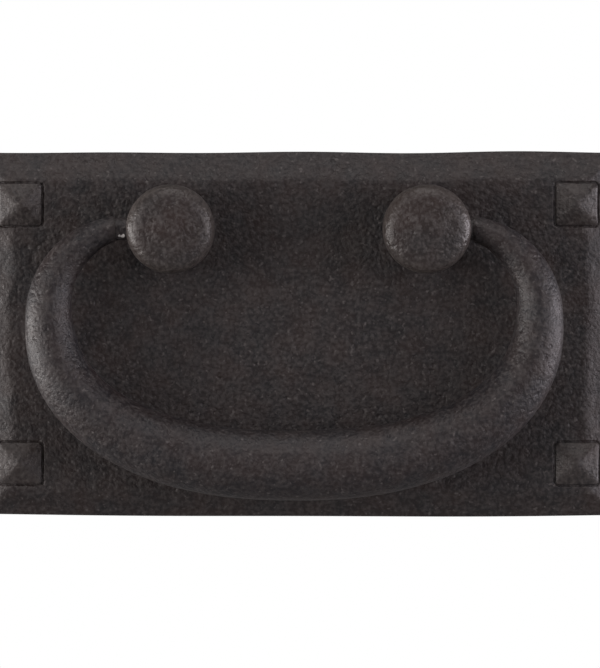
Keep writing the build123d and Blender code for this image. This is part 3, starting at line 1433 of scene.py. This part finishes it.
@dataclass
class Bail:
    """The one-piece drop bail, a round bar that swells from its ends to its middle.

    Attributes:
        drop: From the pivot line down to the middle of the bar.
        overhang: How far its sides stand out past its ends.
        shoulder_radius: The radius of its shoulders.
        squareness: How square its lower corners are, where 2 is an ellipse.
        end_x: Where its ends stand, from its own middle.
        end_diameter: Its thickness at its ends.
        middle_diameter: Its thickness in the middle.
        swell_start: How gently it starts to swell at its ends.
        swell_levelling: How soon the swelling levels off.
        upright_length: The stretch over which its section turns square to the posts.
        sideways_shift: How far it has slid along its pivots.
        spigot_diameter: The thickness of the spigots on its ends.
        spigot_length: How far they reach.
        end_chamfer: The chamfer of its ends.
        tip_chamfer: The chamfer of the spigots' tips.
        around: How many faces it has round its bar.
        along: How many steps each half has.
        lumps: The unevenness of its casting.
        ripple: The finer unevenness on it.
    """

    drop: float = 35.15 * MM
    overhang: float = 9.9 * MM
    shoulder_radius: float = 12.6 * MM
    squareness: float = 2.3
    end_x: float = 26.6 * MM
    end_diameter: float = 3.9 * MM
    middle_diameter: float = 10.4 * MM
    swell_start: float = 1.15
    swell_levelling: float = 2.6
    upright_length: float = 6.0 * MM
    sideways_shift: float = -0.65 * MM
    spigot_diameter: float = 3.4 * MM
    spigot_length: float = 4.6 * MM
    end_chamfer: float = 0.15 * MM
    tip_chamfer: float = 0.4 * MM
    around: int = 96
    along: int = 220
    lumps: Skin = Skin(7.0 * MM, 0.05 * MM, 5.2)
    ripple: Skin = Skin(1.8 * MM, 0.018 * MM, 9.4)

    def line(self) -> list[Vector]:
        """Return closely spaced points of its centreline.

        Returns:
            The points, from its middle to its right end.
        """
        half_width = self.end_x + self.overhang
        shoulder_x = half_width - self.shoulder_radius
        turn = math.acos((self.end_x - shoulder_x) / self.shoulder_radius)
        side_z = -self.shoulder_radius * math.sin(turn)
        power = 2.0 / self.squareness
        samples = 900
        points = []
        for step in range(samples):
            angle = math.pi / 2.0 * step / samples
            x = half_width * math.sin(angle) ** power
            z = side_z - (self.drop + side_z) * math.cos(angle) ** power
            points.append(Vector((x, 0.0, z)))
        for step in range(samples + 1):
            angle = turn * step / samples
            x = shoulder_x + self.shoulder_radius * math.cos(angle)
            z = side_z + self.shoulder_radius * math.sin(angle)
            points.append(Vector((x, 0.0, z)))
        return points

    def diameter(self, from_end: float, half_length: float) -> float:
        """Return its thickness at a place on its centreline.

        Args:
            from_end: The distance from its end.
            half_length: The length of each half.

        Returns:
            The thickness.
        """
        share = min(max(from_end / half_length, 0.0), 1.0)
        growth = 1.0 - (1.0 - share**self.swell_start) ** self.swell_levelling
        return self.end_diameter + (self.middle_diameter - self.end_diameter) * growth

    def half_sections(self) -> list[Matrix]:
        """Return the placed unit circles that its right half runs through.

        Returns:
            Their matrices, from its middle to its spigot's tip.
        """
        points = self.line()
        steps = ((after - before).length for before, after in pairwise(points))
        reach = list(accumulate(steps, initial=0.0))
        length = reach[-1]
        outward = Vector((1.0, 0.0, 0.0))
        sections = []
        index = 0
        for step in range(self.along + 1):
            wanted = length * step / self.along
            while index < len(points) - 2 and reach[index + 1] < wanted:
                index += 1
            start, end = points[index], points[index + 1]
            share = (wanted - reach[index]) / (reach[index + 1] - reach[index])
            heading = outward if step == 0 else (end - start).normalized()
            upright = smooth_step(1.0 - (length - wanted) / self.upright_length)
            heading = heading.lerp(-outward, upright).normalized()
            radius = self.diameter(length - wanted, length) / 2.0
            if step == self.along:
                radius -= self.end_chamfer
            sections.append(placed_circle(start.lerp(end, share), heading, radius))
        return sections + self.spigot_sections(points[-1])

    def spigot_sections(self, root: Vector) -> list[Matrix]:
        """Return the placed unit circles that its right spigot runs through.

        Args:
            root: The middle of the bail's end.

        Returns:
            Their matrices, from that end to the spigot's tip.
        """
        steps = 14
        inward = Vector((-1.0, 0.0, 0.0))
        radius = self.spigot_diameter / 2.0
        straight = self.spigot_length - self.tip_chamfer
        centres = [root + inward * (straight * step / steps) for step in range(steps + 1)]
        tip = placed_circle(root + inward * self.spigot_length, inward, radius - self.tip_chamfer)
        return [*(placed_circle(centre, inward, radius) for centre in centres), tip]

    def make_mesh(self) -> BMesh:
        """Return the bail's closed mesh.

        Returns:
            The mesh, with its wear marked.
        """
        pivot = pivot_place()
        place = Matrix.Translation((self.sideways_shift, pivot.y, pivot.z))
        right = [place @ section for section in self.half_sections()]
        bm = bmesh.new()
        circle = bmesh.ops.create_circle(
            bm, cap_ends=False, segments=self.around, radius=1.0, matrix=right[0]
        )
        ring = list(dict.fromkeys(edge for vert in circle["verts"] for edge in vert.link_edges))
        for before, after in pairwise(right):
            ring = new_ring(bm, ring)
            bmesh.ops.transform(bm, matrix=after @ before.inverted(), verts=ring_verts(ring))
        bmesh.ops.contextual_create(bm, geom=ring)
        self.add_mirror_half(bm)
        bmesh.ops.recalc_face_normals(bm, faces=bm.faces)
        bm.normal_update()
        spigot_root = self.end_x + 0.2 * MM
        for vert in bm.verts:
            beside = (vert.co.yz - pivot.yz).length
            if beside > self.spigot_diameter or abs(vert.co.x - self.sideways_shift) > spigot_root:
                vert.co += vert.normal * (self.lumps.at(vert.co) + self.ripple.at(vert.co))
        bm.normal_update()
        mark_wear(bm, least=0.06, most=0.4, passes=1)
        return bm

    def add_mirror_half(self, bm: BMesh) -> None:
        """Add the left half as the mirror image of the right one and close the joint.

        Args:
            bm: The mesh, with the right half in its place.
        """
        copied = bmesh.ops.duplicate(bm, geom=bm.verts[:] + bm.edges[:] + bm.faces[:])["geom"]
        verts = [item for item in copied if isinstance(item, BMVert)]
        faces = [item for item in copied if isinstance(item, BMFace)]
        middle = Matrix.Translation((self.sideways_shift, 0.0, 0.0))
        flip = middle @ Matrix.Scale(-1.0, 4, (1.0, 0.0, 0.0)) @ middle.inverted()
        bmesh.ops.transform(bm, matrix=flip, verts=verts)
        bmesh.ops.reverse_faces(bm, faces=faces)
        bmesh.ops.remove_doubles(bm, verts=bm.verts, dist=MERGED)

    def build(self) -> bpy.types.Object:
        """Build the bail, dress it and put it in its place.

        Returns:
            The piece.
        """
        rubbed_y = pivot_place().y - 1.3 * MM
        rubbed = (
            RubbedSpot((-26.62 * MM, rubbed_y, -0.95 * MM), 0.26 * MM),
            RubbedSpot((-26.1 * MM, rubbed_y, -1.0 * MM), 0.34 * MM),
        )
        finish = CastFinish(
            "bail_coating",
            brown=(0.0216, 0.0148, 0.0148, 1.0),
            slate=(0.0129, 0.0119, 0.0145, 1.0),
            shift=0.11,
            roughness=0.5,
            rubbed=rubbed,
        )
        piece = finished_piece(self.make_mesh(), "bail_casting", finish)
        settle(piece, "bail", Body.BAIL)
        return piece


def placed_circle(centre: Vector, heading: Vector, radius: float) -> Matrix:
    """Return the matrix that puts a unit circle square to a heading in the bail's plane.

    Args:
        centre: The circle's centre.
        heading: The way its axis points.
        radius: Its radius.

    Returns:
        The matrix.
    """
    front = Vector((0.0, -1.0, 0.0))
    side = heading.cross(front)
    facing = Matrix((front, side, heading)).transposed().to_4x4()
    return Matrix.Translation(centre) @ facing @ Matrix.Diagonal((radius, radius, 1.0, 1.0))


# The studio


@dataclass
class Softbox:
    """One large soft lamp.

    Attributes:
        name: Its name.
        azimuth: Its bearing from the front, in degrees to the right.
        elevation: Its angle above the level, in degrees.
        power: Its power in watts.
        colour: Its colour.
        distance: How far away it stands.
        size: Its width and height.
    """

    name: str
    azimuth: float
    elevation: float
    power: float
    colour: tuple[float, float, float]
    distance: float = 1.1
    size: tuple[float, float] = (0.42, 0.42)

    def build(self, target: Vector) -> None:
        """Set the lamp up, aimed at a target.

        Args:
            target: The place that it lights.
        """
        lamp = bpy.data.lights.new(self.name, "AREA")
        lamp.shape = "RECTANGLE"
        lamp.size, lamp.size_y = self.size
        lamp.energy = self.power
        lamp.color = self.colour
        stand = linked(self.name, lamp)
        bearing, lift = math.radians(self.azimuth), math.radians(self.elevation)
        level = math.cos(lift)
        way = Vector((math.sin(bearing) * level, -math.cos(bearing) * level, math.sin(lift)))
        stand.location = target + way * self.distance
        stand.rotation_euler = way.to_track_quat("Z", "Y").to_euler()
        stand.visible_camera = False


@dataclass
class Studio:
    """The camera, the lamps, the surroundings and the floor.

    Attributes:
        image_height: The height of the photograph, in pixels.
        pixels_per_metre: Its scale on the plane that the camera is set by.
        plane_y: Where that plane lies.
        lens: The camera's focal length, in millimetres.
        sensor: The width of its sensor, in millimetres.
        view_x: What lies at the middle of the picture, along X.
        view_z: What lies there, along Z.
        floor_z: The height of the floor.
        floor_radius: Its radius.
        floor_colour: Its colour.
        surround: The brightness of the surroundings as the object sees them.
        surround_colour: Their colour, as the object sees them.
        lamps: The softboxes.
    """

    image_height: float = 668.0
    pixels_per_metre: float = 6725.0
    plane_y: float = -10.0 * MM
    lens: float = 1200.0
    sensor: float = 36.0
    view_x: float = 0.2 * MM
    view_z: float = -15.6 * MM
    floor_z: float = -170.0 * MM
    floor_radius: float = 0.55
    floor_colour: Colour = (0.42, 0.42, 0.415, 1.0)
    surround: float = 0.1
    surround_colour: Colour = (1.0, 0.94, 0.93, 1.0)
    lamps: tuple[Softbox, ...] = (
        Softbox("left_rim_softbox", -99.0, -6.0, 9.9, (1.0, 0.95, 0.93), size=(0.8, 0.5)),
        Softbox("right_rim_softbox", 97.0, 0.0, 6.6, (1.0, 0.93, 0.99), size=(0.8, 0.5)),
        Softbox("left_side_softbox", -68.0, -4.0, 3.4, (1.0, 0.94, 0.92)),
        Softbox("right_side_softbox", 68.0, 6.0, 2.2, (1.0, 0.93, 0.97)),
        Softbox("left_front_softbox", -40.0, 6.0, 2.6, (1.0, 0.93, 0.91), size=(0.42, 0.6)),
        Softbox("right_front_softbox", 40.0, 8.0, 2.2, (1.0, 0.92, 0.96), size=(0.42, 0.6)),
        Softbox("high_front_softbox", 0.0, 54.0, 1.8, (1.0, 0.94, 0.92)),
        Softbox("top_rim_softbox", 0.0, 84.0, 1.5, (1.0, 0.94, 0.93), size=(0.7, 0.42)),
    )

    def add_camera(self) -> None:
        """Add the camera, square to the plate as in the photograph."""
        shown = self.image_height / self.pixels_per_metre
        distance = shown * self.lens / self.sensor
        data = bpy.data.cameras.new("camera")
        data.lens = self.lens
        data.sensor_width = self.sensor
        data.sensor_fit = "AUTO"
        data.clip_start = 0.05
        data.clip_end = 50.0
        camera = linked("camera", data)
        camera.location = (self.view_x, self.plane_y - distance, self.view_z)
        camera.rotation_euler = (math.pi / 2.0, 0.0, 0.0)
        bpy.context.scene.camera = camera

    def add_surroundings(self) -> None:
        """Add surroundings that look white and light the object only softly."""
        world = bpy.data.worlds.new("studio")
        world.use_nodes = True
        bpy.context.scene.world = world
        bench = NodeBench(world.node_tree)
        white = bench.node("ShaderNodeBackground", None, {"Color": (1.0, 1.0, 1.0, 1.0), "Strength": 1.0})
        dim = {"Color": self.surround_colour, "Strength": self.surround}
        soft = bench.node("ShaderNodeBackground", None, dim)
        seen = bench.node("ShaderNodeLightPath", output="Is Camera Ray")
        both = bench.node("ShaderNodeMixShader", None, {"Fac": seen, 1: soft, 2: white})
        bench.node("ShaderNodeOutputWorld", None, {"Surface": both})

    def add_floor(self) -> None:
        """Add a round grey floor below the object."""
        place = Matrix.Translation((0.0, 0.0, self.floor_z))
        bm = bmesh.new()
        bmesh.ops.create_circle(bm, cap_ends=True, segments=96, radius=self.floor_radius, matrix=place)
        material, bench = new_material("grey_floor")
        bench.show({"Base Color": self.floor_colour, "Roughness": 0.9})
        mesh = mesh_from(bm, "floor")
        mesh.materials.append(material)
        linked("floor", mesh)

    def build(self) -> None:
        """Set up the whole studio."""
        self.add_camera()
        self.add_surroundings()
        self.add_floor()
        target = Vector((0.0, 0.0, self.view_z))
        for lamp in self.lamps:
            lamp.build(target)
        view = bpy.context.scene.view_settings
        view.view_transform = "Standard"
        view.look = "None"
        view.exposure = 0.0
        view.gamma = 1.0


def main() -> None:
    """Build the studio and then every piece, in order."""
    logging.basicConfig(level=logging.INFO, format="%(message)s")
    Studio().build()
    Backplate().build()
    for hand in Hand:
        Post(hand).build()
    Bail().build()


if __name__ == "__main__":
    main()
